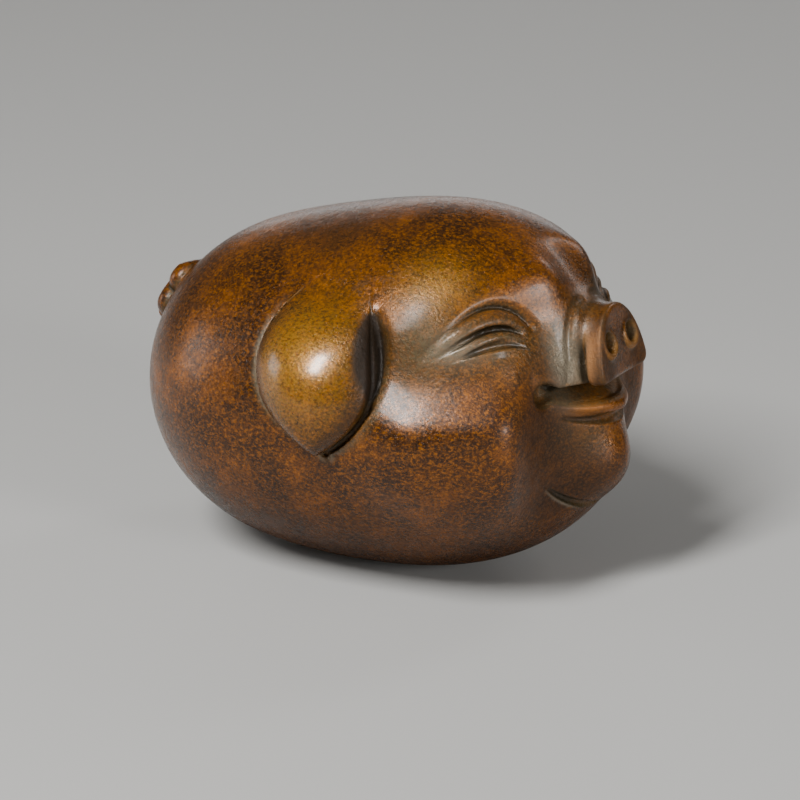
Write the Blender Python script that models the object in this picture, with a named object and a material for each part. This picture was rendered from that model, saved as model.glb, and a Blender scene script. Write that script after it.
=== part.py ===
# Tea pet: a small fat pig, cast in one piece in bronze, that laughs with its eyes shut.
#
# Frame: metres, +Z up. The origin is on the small flat of the underside, which the
# pig rests on. The snout points to -Y, the tail to +Y, and the pig's right is -X.
#
# The pig is one smooth distance field: round masses that run into each other, soft
# mounds and dips, and strokes that are laid on its surface and cut in or built up.
# The field is meshed as a volume and thinned out to flat facets.

import bpy
import numpy as np
import openvdb

MM = 0.001

# Body: a rump and a head, two squat eggs with one skin.
RUMP_HALF_WIDTH = 19.5 * MM
RUMP_HALF_LENGTH = 20.2 * MM
RUMP_HALF_HEIGHT = 17.6 * MM
RUMP_BACK = 4.3 * MM
RUMP_UP = 17.55 * MM
HEAD_HALF_WIDTH = 18.6 * MM
HEAD_HALF_LENGTH = 18.0 * MM
HEAD_HALF_HEIGHT = 18.3 * MM
HEAD_FORWARD = 10.9 * MM
HEAD_UP = 19.7 * MM
NECK_FILL = 9.0 * MM

RUMP_CENTRE = (0.0, RUMP_BACK, RUMP_UP)
RUMP_RADII = (RUMP_HALF_WIDTH, RUMP_HALF_LENGTH, RUMP_HALF_HEIGHT)
HEAD_CENTRE = (0.0, -HEAD_FORWARD, HEAD_UP)
HEAD_RADII = (HEAD_HALF_WIDTH, HEAD_HALF_LENGTH, HEAD_HALF_HEIGHT)


def at_face(x, back, up):
    """A place on the head, in millimetres: behind its front end and above its middle."""
    return (x * MM, back * MM - HEAD_FORWARD - HEAD_HALF_LENGTH, up * MM + HEAD_UP)


# Cheeks and chin. A stroke on the head is given by three azimuths, with the front at 0
# and the ear at 90, and three heights above the head's middle.
CHEEK_CENTRE = at_face(-13.5, 5.4, -1.7)
CHEEK_REACH = (7.0 * MM, 7.5 * MM, 8.5 * MM)
CHEEK_RISE = 1.5 * MM
JAW_CENTRE = at_face(-18.6, 14.6, -3.0)
JAW_REACH = (6.0 * MM, 4.6 * MM, 5.0 * MM)
JAW_RISE = 1.3 * MM
CHIN_CENTRE = at_face(0.0, 5.6, -4.9)
CHIN_RADII = (7.2 * MM, 6.0 * MM, 5.3 * MM)
LIPS_CENTRE = at_face(0.0, 0.4, 0.3)
LIPS_REACH = (9.0 * MM, 7.0 * MM, 4.0 * MM)
LIPS_SETBACK = 0.8 * MM
JOWL_LINE = ((24.5, 25.5, 26.5), (8.9, 1.3, -7.7))
JOWL_DEPTH = 2.6 * MM
JOWL_ROUND = 7.0 * MM

# Brow: knobs on both sides of a furrow, over the dish that the snout stands in.
BROW_CENTRE = at_face(-3.8, 8.0, 14.6)
BROW_REACH = (2.2 * MM, 3.0 * MM, 2.4 * MM)
BROW_RISE = 0.55 * MM
NOSE_SIDE_CENTRE = at_face(-7.6, 5.4, 10.1)
NOSE_SIDE_REACH = (3.8 * MM, 3.8 * MM, 3.4 * MM)
NOSE_SIDE_DIP = 1.5 * MM
SOCKET_CENTRE = at_face(-11.3, 8.0, 9.8)
SOCKET_REACH = (5.0 * MM, 5.0 * MM, 4.2 * MM)
SOCKET_DIP = 1.45 * MM
FURROW_LINE = ((0.0, 0.0, 0.0), (16.8, 13.8, 10.8))
FURROW_DEPTH = 0.7 * MM
FURROW_ROUND = 3.4 * MM
DISH_CENTRE = at_face(0.0, -1.1, 9.5)
DISH_RADII = (10.3 * MM, 6.2 * MM, 7.0 * MM)
TEMPLE_LINE = ((91.0, 68.0, 42.0), (7.4, 7.1, 7.6))
TEMPLE_DEPTH = 0.9 * MM
TEMPLE_ROUND = 4.5 * MM

# Snout
SNOUT_CENTRE = at_face(0.0, 1.7, 7.2)
SNOUT_TILT = 13.0
SNOUT_HALF_WIDTH = 4.95 * MM
SNOUT_TOP = 3.6 * MM
SNOUT_BOTTOM = 3.75 * MM
SNOUT_THICK = 2.0 * MM
SNOUT_EDGE = 0.8 * MM
MUZZLE_BACK = at_face(0.0, 7.9, 6.6)
MUZZLE_FRONT = at_face(0.0, 4.7, 6.9)
MUZZLE_RADIUS = 3.5 * MM
NOSTRIL_SPACING = 4.5 * MM
NOSTRIL_RADIUS = 1.0 * MM

# Mouth: its heights are above the head's middle.
MOUTH_HALF_WIDTH = 9.2 * MM
MOUTH_TOP = 3.4 * MM
MOUTH_BOTTOM = 0.6 * MM
MOUTH_DEPTH = 2.2 * MM
CORNER_LINE = ((30.5, 32.2, 34.0), (2.9, 3.0, 3.0))
CORNER_RADIUS = 0.95 * MM
UPPER_LIP_LINE = ((34.0, 23.0, 12.0), (4.2, 4.0, 3.9))
UPPER_LIP_RADIUS = 1.25 * MM
LIP_RADIUS = 0.8 * MM
LIP_GROOVE = 0.85 * MM
CREASE_HALF_WIDTH = 7.6 * MM
CREASE_UP = -10.3 * MM
CREASE_RADIUS = 0.55 * MM

# Eyes
EYE_CREASE_LINE = ((77.0, 54.5, 34.0), (7.7, 11.1, 9.6))
EYE_CREASE = 1.1 * MM
EYE_LID_LINE = ((76.0, 54.5, 36.0), (7.5, 10.2, 8.9))
EYE_LID = 1.25 * MM
EYE_SLIT_LINE = ((75.0, 54.0, 36.5), (7.1, 9.65, 8.5))
EYE_SLIT = 0.5 * MM
EYE_LOWER_LINE = ((72.0, 52.5, 36.5), (7.0, 8.95, 8.1))
EYE_LOWER_LID = 0.7 * MM

# Ears: drops that hang point down, measured up from the point.
EAR_BACK = 5.3 * MM
EAR_DOWN = 2.6 * MM
EAR_SLANT = 0.2
EAR_HALF_WIDTH = 6.35 * MM
EAR_WIDEST = 8.0 * MM
EAR_HEIGHT = 14.8 * MM
EAR_REAR_CLOSE = 8.6 * MM
EAR_FRONT_CLOSE = 15.0 * MM
EAR_EDGE = 1.15 * MM
EAR_DOME = 2.3 * MM
HOLLOW_LINE = ((98.0, 95.2, 100.5), (10.4, 6.3, 1.0))
HOLLOW_DEPTH = 1.7 * MM
HOLLOW_RADIUS = 1.7 * MM

# Tail: a cord that lies on the rump in two waves.
TAIL_SIDE = -3.3 * MM
TAIL_SWAY = 1.7 * MM
TAIL_TOP = 31.2 * MM
TAIL_BOTTOM = 23.0 * MM
TAIL_RADII = (1.3 * MM, 1.2 * MM)
TAIL_LIFT = 0.2 * MM

# Mesh
GRID_STEP = 0.35 * MM
FACETS = 9400
STROKE = 16


def ellipsoid(p, centre, radii):
    """Distance to an ellipsoid, true close to its surface."""
    q = p - np.array(centre)
    radii = np.array(radii)
    near = np.linalg.norm(q / radii, axis=1)
    slope = np.linalg.norm(q / radii**2, axis=1)
    return near * (near - 1.0) / np.maximum(slope, 1e-9)


def blend(a, b, width):
    """Union of two shapes with a fillet of about this width."""
    h = np.clip(0.5 + 0.5 * (b - a) / width, 0.0, 1.0)
    return b + (a - b) * h - width * h * (1.0 - h)


def carve(a, b, width):
    """The first shape with the second cut out of it, with rounded edges."""
    return -blend(-a, b, width)


def both(a, b, width):
    """What two shapes share, with rounded edges."""
    return -blend(-a, -b, width)


def mound(p, centre, radii, height):
    """A soft rise, to take off a distance, or a dip, to add to it."""
    q = (p - np.array(centre)) / np.array(radii)
    return height * np.exp(-np.sum(q * q, axis=1))


def tube(p, path, radii, reach=4.0 * MM):
    """Distance to a string of round segments whose radius changes along the path."""
    distance = np.full(len(p), reach)
    close = np.all((p > path.min(axis=0) - reach) & (p < path.max(axis=0) + reach), axis=1)
    q = p[close]
    nearest = distance[close]
    for a, b, ra, rb in zip(path[:-1], path[1:], radii[:-1], radii[1:]):
        run = b - a
        t = np.clip((q - a) @ run / (run @ run), 0.0, 1.0)
        gap = np.linalg.norm(q - a - t[:, None] * run, axis=1) - ra - (rb - ra) * t
        nearest = np.minimum(nearest, gap)
    distance[close] = nearest
    return distance


def sweep(start, middle, end):
    """Values along a stroke: the parabola through three of them."""
    t = np.linspace(0.0, 1.0, STROKE)
    return start * (1 - t) * (1 - 2 * t) + middle * 4 * t * (1 - t) + end * t * (2 * t - 1)


def swell(end):
    """Width along a stroke that tapers to this share at both ends."""
    t = np.linspace(-1.0, 1.0, STROKE)
    return end + (1.0 - end) * (1.0 - t**2)


def widen(start, end):
    """Width along a stroke that is full in the middle, with these shares at its ends."""
    t = np.linspace(0.0, 1.0, STROKE)
    return start + (end - start) * t + (1.0 - (start + end) / 2) * 4 * t * (1 - t)


def surface_along(field, start, direction, sink):
    """Points where rays from inside leave a field, or lie this deep under its surface."""
    near = np.zeros(len(start))
    far = np.full(len(start), 40 * MM)
    for _ in range(24):
        middle = (near + far) / 2
        inside = field(start + direction * middle[:, None]) < -sink
        near = np.where(inside, middle, near)
        far = np.where(inside, far, middle)
    return start + direction * near[:, None]


def around_head(field, line, sink=0.0):
    """A stroke on the right side of the head, from its azimuths and heights."""
    turn = np.radians(sweep(*line[0]))
    heights = sweep(*line[1]) * MM + HEAD_UP
    zero = np.zeros(len(turn))
    start = np.stack((zero, zero - HEAD_FORWARD, heights), axis=1)
    direction = np.stack((-np.sin(turn), -np.cos(turn), zero), axis=1)
    return surface_along(field, start, direction, sink)


def on_face(field, x, up, sink=0.0):
    """A stroke given as seen from the front."""
    zero = np.zeros(len(x))
    start = np.stack((x, zero - HEAD_FORWARD, up + HEAD_UP), axis=1)
    return surface_along(field, start, np.stack((zero, zero - 1.0, zero), axis=1), sink)


def onto(field, p, step):
    """Points moved on to the surface of a field."""
    small = 0.1 * step
    slope = [(field(p + small * axis) - field(p - small * axis)) / (2 * small) for axis in np.eye(3)]
    slope = np.stack(slope, axis=1)
    size = np.maximum((slope**2).sum(axis=1), 0.05)
    return p - slope * (field(p) / size)[:, None]


def body(p):
    """The bare body."""
    return blend(ellipsoid(p, RUMP_CENTRE, RUMP_RADII), ellipsoid(p, HEAD_CENTRE, HEAD_RADII), NECK_FILL)


def right_side(p):
    """Points folded over to the pig's right, because its two halves are alike."""
    m = p.copy()
    m[:, 0] = -np.abs(p[:, 0])
    return m


JOWL = around_head(body, JOWL_LINE, JOWL_DEPTH - JOWL_ROUND)
FURROW = around_head(body, FURROW_LINE, FURROW_DEPTH - FURROW_ROUND)
TEMPLE = around_head(body, TEMPLE_LINE, TEMPLE_DEPTH - TEMPLE_ROUND)


def masses(p):
    """The body with its cheeks, chin and brow, before any line is drawn on it."""
    m = right_side(p)
    d = body(p) - mound(m, CHEEK_CENTRE, CHEEK_REACH, CHEEK_RISE) - mound(m, JAW_CENTRE, JAW_REACH, JAW_RISE)
    d = blend(d, ellipsoid(p, CHIN_CENTRE, CHIN_RADII), 1.5 * MM)
    d = d + mound(m, NOSE_SIDE_CENTRE, NOSE_SIDE_REACH, NOSE_SIDE_DIP)
    d = d + mound(m, SOCKET_CENTRE, SOCKET_REACH, SOCKET_DIP)
    d = d + mound(m, LIPS_CENTRE, LIPS_REACH, LIPS_SETBACK)
    d = d - mound(m, BROW_CENTRE, BROW_REACH, BROW_RISE)
    d = carve(d, tube(m, FURROW, FURROW_ROUND * swell(0.8), 8.0 * MM), 2.0 * MM)
    d = carve(d, tube(m, TEMPLE, TEMPLE_ROUND * swell(0.88), 9.0 * MM), 2.5 * MM)
    d = carve(d, ellipsoid(p, DISH_CENTRE, DISH_RADII), 2.0 * MM)
    return carve(d, tube(m, JOWL, JOWL_ROUND * swell(0.85), 12.0 * MM), 3.8 * MM)


def muzzle(p, d):
    """The muzzle and the snout's disc, with its nostrils."""
    neck = np.array((MUZZLE_BACK, MUZZLE_FRONT))
    squeezed = p * np.array((0.9, 1.0, 1.0))
    d = blend(d, tube(squeezed, neck, (MUZZLE_RADIUS, MUZZLE_RADIUS), 8.0 * MM), 3.0 * MM)
    flare = np.linspace(0.3, 1.0, STROKE) * UPPER_LIP_RADIUS
    d = blend(d, tube(right_side(p), UPPER_LIP, flare), 1.6 * MM)
    turn = np.radians(SNOUT_TILT)
    q = p - np.array(SNOUT_CENTRE)
    x = q[:, 0]
    y = q[:, 1] * np.cos(turn) - q[:, 2] * np.sin(turn)
    z = q[:, 1] * np.sin(turn) + q[:, 2] * np.cos(turn)
    arch = np.hypot(x / SNOUT_HALF_WIDTH, np.maximum(z + SNOUT_BOTTOM, 0.0) / (SNOUT_TOP + SNOUT_BOTTOM))
    side = both((arch - 1.0) * SNOUT_HALF_WIDTH, -z - SNOUT_BOTTOM, 1.2 * MM)
    disc = both(side, np.abs(y) - SNOUT_THICK / 2, SNOUT_EDGE)
    nostril = np.stack((np.abs(x) - NOSTRIL_SPACING / 2, y + 0.9 * MM, z), axis=1)
    hole = ellipsoid(nostril, (0.0, 0.0, 0.0), (NOSTRIL_RADIUS, 1.2 * NOSTRIL_RADIUS, NOSTRIL_RADIUS))
    return disc, hole, d


LIP_X = np.linspace(-0.82 * MOUTH_HALF_WIDTH, 0.0, STROKE)
SMILE = (MOUTH_TOP - MOUTH_BOTTOM) * np.abs(LIP_X / MOUTH_HALF_WIDTH) ** 3
UPPER_LIP = around_head(masses, UPPER_LIP_LINE, 0.45 * MM)
LOWER_LIP = on_face(masses, LIP_X, MOUTH_BOTTOM + SMILE - 0.2 * MM, 0.1 * MM)
UNDER_LIP = on_face(masses, LIP_X * 0.8, MOUTH_BOTTOM + SMILE * 0.5 - 1.55 * MM, 0.1 * MM)
CORNER = around_head(masses, CORNER_LINE, 0.35 * MM)
CREASE_X = np.linspace(-CREASE_HALF_WIDTH, 0.0, STROKE)
CREASE_RISE = 3.6 * MM * (CREASE_X / CREASE_HALF_WIDTH) ** 2
CHIN_CREASE = on_face(masses, CREASE_X, CREASE_UP + CREASE_RISE)
TAPER = np.linspace(0.1, 1.0, STROKE)


def mouth(p, d, outside):
    """The open mouth, the lower lip, the groove under it and the crease of the chin."""
    m = right_side(p)
    x = p[:, 0]
    up = p[:, 2] - HEAD_UP
    low = MOUTH_BOTTOM + (MOUTH_TOP - MOUTH_BOTTOM) * np.abs(x / MOUTH_HALF_WIDTH) ** 3
    deep = MOUTH_DEPTH * (up - low) / (MOUTH_TOP - MOUTH_BOTTOM)
    opening = both(up - MOUTH_TOP, -(outside + deep), 0.6 * MM)
    front = (p[:, 1] < HEAD_CENTRE[1]) & (np.abs(x) < 1.15 * MOUTH_HALF_WIDTH)
    d = carve(d, np.where(front, opening, 3.0 * MM), 0.4 * MM)
    d = carve(d, tube(m, CORNER, CORNER_RADIUS * widen(0.7, 0.7)), 0.9 * MM)
    d = blend(d, tube(m, LOWER_LIP, LIP_RADIUS * TAPER**0.6), 0.3 * MM)
    d = carve(d, tube(m, UNDER_LIP, LIP_GROOVE * TAPER**0.6), 0.6 * MM)
    return carve(d, tube(m, CHIN_CREASE, CREASE_RADIUS * TAPER**0.5), 0.4 * MM)


CREASE = around_head(masses, EYE_CREASE_LINE, -0.15 * MM)
LID = around_head(masses, EYE_LID_LINE, 0.8 * MM)
SLIT = around_head(masses, EYE_SLIT_LINE, -0.1 * MM)
LOWER_LID = around_head(masses, EYE_LOWER_LINE, 0.35 * MM)


def eye(p, d):
    """A shut eye: the crease under the brow, the lid, the slit and the lower lid."""
    m = right_side(p)
    d = carve(d, tube(m, CREASE, EYE_CREASE * widen(0.1, 0.75)), 1.2 * MM)
    d = blend(d, tube(m, LID, EYE_LID * widen(0.45, 0.5)), 0.4 * MM)
    d = carve(d, tube(m, SLIT, EYE_SLIT * widen(0.1, 0.3)), 0.4 * MM)
    return blend(d, tube(m, LOWER_LID, EYE_LOWER_LID * widen(0.2, 0.3)), 0.3 * MM)


HOLLOW = around_head(body, HOLLOW_LINE, HOLLOW_DEPTH - HOLLOW_RADIUS)


def ear(p, d, skin):
    """A puffed drop on the side of the head, with a hollow along its front edge."""
    m = right_side(p)
    d = carve(d, tube(m, HOLLOW, HOLLOW_RADIUS * widen(0.3, 0.3)), 1.5 * MM)
    up = m[:, 2] - HEAD_UP + EAR_DOWN
    across = m[:, 1] + HEAD_FORWARD - EAR_BACK - EAR_SLANT * up
    close = np.where(across < 0, EAR_FRONT_CLOSE, EAR_REAR_CLOSE)
    below = np.clip(1.0 - up / EAR_WIDEST, 0.0, 1.0)
    above = np.clip((up - EAR_WIDEST) / close, 0.0, 1.0)
    width = EAR_HALF_WIDTH * (1.0 - below ** np.where(across < 0, 2.0, 2.6)) * (1.0 - above**2)
    side = (np.abs(across) - width) * (1.0 - 0.35 * below)
    side = np.where(up < 0, np.hypot(up, across), side)
    side = np.where(m[:, 0] < -8.0 * MM, side, 5.0 * MM)
    share = np.clip(np.abs(across) / np.maximum(width, 0.2 * MM), 0.0, 1.0)
    fade = np.maximum((up - EAR_WIDEST) / (EAR_HEIGHT - EAR_WIDEST), 0.0)
    puff = EAR_DOME * (1.0 - share**2.2) * (1.0 - below**2.5) ** 0.6
    height = (EAR_EDGE + puff) * (1.0 - fade**2) - 1.0 * MM * fade**4
    return blend(d, both(skin - height, side, 0.5 * MM), (0.2 + 1.3 * np.minimum(fade, 1.0) ** 2) * MM)


def tail_path():
    """Two waves down the rump, laid on its skin, with the root sunk in."""
    t = np.linspace(0.0, 1.0, 2 * STROKE)
    x = TAIL_SIDE - TAIL_SWAY * np.sin(2 * np.pi * t) ** 2
    z = TAIL_TOP + (TAIL_BOTTOM - TAIL_TOP) * t
    path = np.stack((x, np.full(len(x), RUMP_CENTRE[1] + RUMP_RADII[1]), z), axis=1)
    for _ in range(3):
        path = onto(body, path, MM)
    lift = TAIL_LIFT - 1.2 * MM * (1.0 - np.clip(6 * t, 0.0, 1.0))
    return path + lift[:, None] * np.array((0.0, 0.9, 0.44))


TAIL = tail_path()
TAIL_RADIUS = np.linspace(TAIL_RADII[0], TAIL_RADII[1], len(TAIL))


def form(p):
    """Distance to the finished pig."""
    plain = masses(p)
    disc, hole, d = muzzle(p, plain)
    d = mouth(p, d, plain)
    d = carve(blend(d, disc, 0.8 * MM), hole, 0.4 * MM)
    d = eye(p, d)
    d = ear(p, d, body(p))
    return blend(d, tube(p, TAIL, TAIL_RADIUS), 0.5 * MM)


def skin(step):
    """The pig's surface as four-sided faces of about this size."""
    low = np.array((-25.0, -32.0, -2.0)) * MM
    high = np.array((25.0, 29.0, 41.0)) * MM
    axes = [np.arange(a, b + step, step) for a, b in zip(low, high)]
    grid = np.stack(np.meshgrid(*axes, indexing="ij"), axis=-1)
    values = form(grid.reshape(-1, 3)).reshape(grid.shape[:3])
    volume = openvdb.FloatGrid()
    volume.copyFromArray((values / step).astype(np.float32))
    points, faces = volume.convertToQuads(isovalue=0.0)
    points = low + points.astype(float) * step
    for _ in range(2):
        points = onto(form, points, step)
    mesh = bpy.data.meshes.new("pig")
    mesh.from_pydata(points.tolist(), [], faces.tolist())
    return mesh


def collection(name, hidden=False):
    """A collection in the scene; a hidden one isn't rendered."""
    made = bpy.data.collections.new(name)
    made.hide_render = hidden
    bpy.context.scene.collection.children.link(made)
    return made


def block(name, low, high):
    """A box between two corners."""
    corners = [(x, y, z) for x in (low[0], high[0]) for y in (low[1], high[1]) for z in (low[2], high[2])]
    faces = [(0, 1, 3, 2), (4, 6, 7, 5), (0, 4, 5, 1), (2, 3, 7, 6), (0, 2, 6, 4), (1, 5, 7, 3)]
    mesh = bpy.data.meshes.new(name)
    mesh.from_pydata(corners, [], faces)
    return bpy.data.objects.new(name, mesh)


def bronze():
    """Cast bronze with a brown patina."""
    material = bpy.data.materials.new("patinated_bronze")
    material.use_nodes = True
    shader = material.node_tree.nodes["Principled BSDF"]
    shader.inputs["Base Color"].default_value = (0.2, 0.085, 0.03, 1.0)
    shader.inputs["Metallic"].default_value = 0.8
    shader.inputs["Roughness"].default_value = 0.4
    return material


def main():
    for obj in list(bpy.data.objects):
        bpy.data.objects.remove(obj, do_unlink=True)
    parts = collection("tea_pet_pig")
    cutters = collection("cutters", hidden=True)

    ground = block("ground", (-30 * MM, -40 * MM, -5 * MM), (30 * MM, 40 * MM, 0.0))
    ground.display_type = "WIRE"
    ground.hide_render = True
    cutters.objects.link(ground)

    pig = bpy.data.objects.new("pig", skin(GRID_STEP))
    pig.data.materials.append(bronze())
    parts.objects.link(pig)

    thin = pig.modifiers.new("thin", "DECIMATE")
    thin.ratio = FACETS / (2 * len(pig.data.polygons))
    thin.use_collapse_triangulate = True
    seat = pig.modifiers.new("seat", "BOOLEAN")
    seat.operation = "DIFFERENCE"
    seat.solver = "EXACT"
    seat.object = ground

    pig.data.shade_smooth()
    pig.data.set_sharp_from_angle(angle=np.radians(40.0))


if __name__ == "__main__":
    main()
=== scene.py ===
import math

import bmesh
import bpy
import numpy as np
import openvdb
from mathutils import Matrix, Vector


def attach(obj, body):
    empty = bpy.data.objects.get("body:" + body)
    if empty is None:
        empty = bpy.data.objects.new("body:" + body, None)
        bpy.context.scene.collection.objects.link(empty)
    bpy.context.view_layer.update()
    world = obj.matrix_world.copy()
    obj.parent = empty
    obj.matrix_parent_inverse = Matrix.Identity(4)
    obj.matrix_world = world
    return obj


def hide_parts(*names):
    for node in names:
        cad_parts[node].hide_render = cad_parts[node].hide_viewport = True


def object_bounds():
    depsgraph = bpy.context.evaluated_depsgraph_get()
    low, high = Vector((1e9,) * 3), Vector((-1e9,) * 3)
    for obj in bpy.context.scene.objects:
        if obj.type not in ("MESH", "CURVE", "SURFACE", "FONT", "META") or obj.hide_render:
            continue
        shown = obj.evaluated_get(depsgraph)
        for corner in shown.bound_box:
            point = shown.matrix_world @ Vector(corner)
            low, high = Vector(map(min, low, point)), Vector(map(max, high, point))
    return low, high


MM = 0.001

# Tea pet: a small fat pig cast in bronze. Its form is the part's own, with sharper edges
# and finer relief, and it stands for the solid in the render.

# Body: a rump and a head, two squat eggs with one skin.
RUMP_HALF_WIDTH = 19.5 * MM
RUMP_HALF_LENGTH = 20.2 * MM
RUMP_HALF_HEIGHT = 17.6 * MM
RUMP_BACK = 4.3 * MM
RUMP_UP = 17.55 * MM
HEAD_HALF_WIDTH = 18.6 * MM
HEAD_HALF_LENGTH = 18.0 * MM
HEAD_HALF_HEIGHT = 18.3 * MM
HEAD_FORWARD = 10.9 * MM
HEAD_UP = 19.7 * MM
NECK_FILL = 9.0 * MM

RUMP_CENTRE = (0.0, RUMP_BACK, RUMP_UP)
RUMP_RADII = (RUMP_HALF_WIDTH, RUMP_HALF_LENGTH, RUMP_HALF_HEIGHT)
HEAD_CENTRE = (0.0, -HEAD_FORWARD, HEAD_UP)
HEAD_RADII = (HEAD_HALF_WIDTH, HEAD_HALF_LENGTH, HEAD_HALF_HEIGHT)


def at_face(x, back, up):
    """A place on the head, in millimetres: behind its front end and above its middle."""
    return (x * MM, back * MM - HEAD_FORWARD - HEAD_HALF_LENGTH, up * MM + HEAD_UP)


# Cheeks and chin. A stroke on the head is given by three azimuths, with the front at 0
# and the ear at 90, and three heights above the head's middle.
CHEEK_CENTRE = at_face(-13.5, 5.4, -1.7)
CHEEK_REACH = (7.0 * MM, 7.5 * MM, 8.5 * MM)
CHEEK_RISE = 1.5 * MM
JAW_CENTRE = at_face(-18.6, 14.6, -3.0)
JAW_REACH = (6.0 * MM, 4.6 * MM, 5.0 * MM)
JAW_RISE = 1.3 * MM
CHIN_CENTRE = at_face(0.0, 5.6, -4.9)
CHIN_RADII = (7.2 * MM, 6.0 * MM, 5.3 * MM)
LIPS_CENTRE = at_face(0.0, 0.4, 0.3)
LIPS_REACH = (9.0 * MM, 7.0 * MM, 4.0 * MM)
LIPS_SETBACK = 0.8 * MM
JOWL_LINE = ((24.5, 25.5, 26.5), (8.9, 1.3, -7.7))
JOWL_DEPTH = 2.6 * MM
JOWL_ROUND = 7.0 * MM

# Brow: knobs on both sides of a furrow, over the dish that the snout stands in.
BROW_CENTRE = at_face(-3.8, 8.0, 14.6)
BROW_REACH = (2.2 * MM, 3.0 * MM, 2.4 * MM)
BROW_RISE = 0.55 * MM
NOSE_SIDE_CENTRE = at_face(-7.6, 5.4, 10.1)
NOSE_SIDE_REACH = (3.8 * MM, 3.8 * MM, 3.4 * MM)
NOSE_SIDE_DIP = 1.5 * MM
SOCKET_CENTRE = at_face(-11.3, 8.0, 9.8)
SOCKET_REACH = (5.0 * MM, 5.0 * MM, 4.2 * MM)
SOCKET_DIP = 1.45 * MM
FURROW_LINE = ((0.0, 0.0, 0.0), (16.8, 13.8, 10.8))
FURROW_DEPTH = 0.7 * MM
FURROW_ROUND = 3.4 * MM
DISH_CENTRE = at_face(0.0, -1.1, 9.5)
DISH_RADII = (10.3 * MM, 6.2 * MM, 7.0 * MM)
TEMPLE_LINE = ((91.0, 68.0, 42.0), (7.4, 7.1, 7.6))
TEMPLE_DEPTH = 0.9 * MM
TEMPLE_ROUND = 4.5 * MM

# Snout
SNOUT_CENTRE = at_face(0.0, 1.7, 7.2)
SNOUT_TILT = 13.0
SNOUT_HALF_WIDTH = 4.95 * MM
SNOUT_TOP = 3.6 * MM
SNOUT_BOTTOM = 3.75 * MM
SNOUT_THICK = 2.0 * MM
SNOUT_EDGE = 0.48 * MM
SNOUT_FILLET = 0.7 * MM
FACE_DISH = 0.35 * MM
MUZZLE_BACK = at_face(0.0, 7.9, 6.6)
MUZZLE_FRONT = at_face(0.0, 4.7, 6.9)
MUZZLE_RADIUS = 3.5 * MM
FOLD_BACK = 2.2 * MM
FOLD_TURN = (-118.0, -15.0)
FOLD_LEAN = 0.15
FOLD_LIFT = 0.15 * MM
FOLD_RADIUS = 0.42 * MM

# Nostrils: the hole, the dish round it and the raised rim, each with its middle and radii.
NOSTRIL_SPACING = 4.5 * MM
NOSTRIL_FORWARD = 0.9 * MM
NOSTRIL_HOLE = ((0.0, 0.0, 0.0), (0.7 * MM, 1.2 * MM, 1.0 * MM))
NOSTRIL_DISH = ((0.0, -0.5 * MM, 0.1 * MM), (1.2 * MM, 0.75 * MM, 1.26 * MM))
NOSTRIL_RIM = ((0.0, 0.0, -0.2 * MM), (1.38 * MM, 0.55 * MM, 1.44 * MM))

# Mouth: its heights are above the head's middle.
MOUTH_HALF_WIDTH = 9.2 * MM
MOUTH_TOP = 3.4 * MM
MOUTH_BOTTOM = 0.6 * MM
MOUTH_DEPTH = 2.2 * MM
CORNER_LINE = ((30.5, 32.2, 34.0), (2.9, 3.0, 3.0))
CORNER_RADIUS = 0.95 * MM
UPPER_LIP_LINE = ((34.0, 23.0, 12.0), (4.2, 4.0, 3.9))
UPPER_LIP_RADIUS = 1.25 * MM
LIP_REACH = 0.74
LIP_RADIUS = 0.88 * MM
LIP_GROOVE = 0.5 * MM
LIP_GROOVE_DOWN = 1.2 * MM
CREASE_HALF_WIDTH = 7.6 * MM
CREASE_UP = -10.3 * MM
CREASE_CURL = 3.6 * MM
CREASE_RADIUS = 0.55 * MM

# Eyes: the crease under the brow, the lid, the slit, the lower lid and a last fold.
EYE_CREASE_LINE = ((77.0, 54.5, 34.0), (7.7, 11.1, 9.6))
EYE_CREASE = 0.88 * MM
EYE_LID_LINE = ((76.0, 54.5, 36.0), (7.5, 10.2, 8.9))
EYE_LID = 1.25 * MM
EYE_SLIT_LINE = ((75.0, 54.0, 36.5), (7.1, 9.65, 8.5))
EYE_SLIT = 0.5 * MM
EYE_LOWER_LINE = ((72.0, 52.5, 36.5), (7.0, 8.95, 8.1))
EYE_LOWER_LID = 0.595 * MM
EYE_FOLD_LINE = ((67.0, 51.0, 37.0), (7.15, 8.45, 7.75))
EYE_FOLD = 0.42 * MM
EYE_LAST_LID_LINE = ((71.0, 51.5, 36.0), (6.7, 7.85, 7.2))
EYE_LAST_LID = 0.6 * MM

# Ears: drops that hang point down, measured up from the point.
EAR_BACK = 5.3 * MM
EAR_DOWN = 2.6 * MM
EAR_SLANT = 0.2
EAR_HALF_WIDTH = 6.35 * MM
EAR_WIDEST = 8.0 * MM
EAR_HEIGHT = 14.8 * MM
EAR_REAR_CLOSE = 8.6 * MM
EAR_FRONT_CLOSE = 15.0 * MM
EAR_EDGE = 1.15 * MM
EAR_DOME = 2.3 * MM
EAR_ROOM = 8.0 * MM
EAR_GROOVE_OUT = 0.15 * MM
EAR_GROOVE = 0.38 * MM
HOLLOW_LINE = ((98.0, 95.2, 100.5), (10.4, 6.3, 1.0))
HOLLOW_DEPTH = 1.7 * MM
HOLLOW_RADIUS = 1.7 * MM

# Tail: a cord that lies on the rump in two waves.
TAIL_SIDE = -3.3 * MM
TAIL_SWAY = 1.7 * MM
TAIL_TOP = 31.2 * MM
TAIL_BOTTOM = 23.0 * MM
TAIL_RADII = (1.3 * MM, 1.2 * MM)
TAIL_LIFT = 0.2 * MM
TAIL_ROOT_SINK = 1.2 * MM

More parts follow.
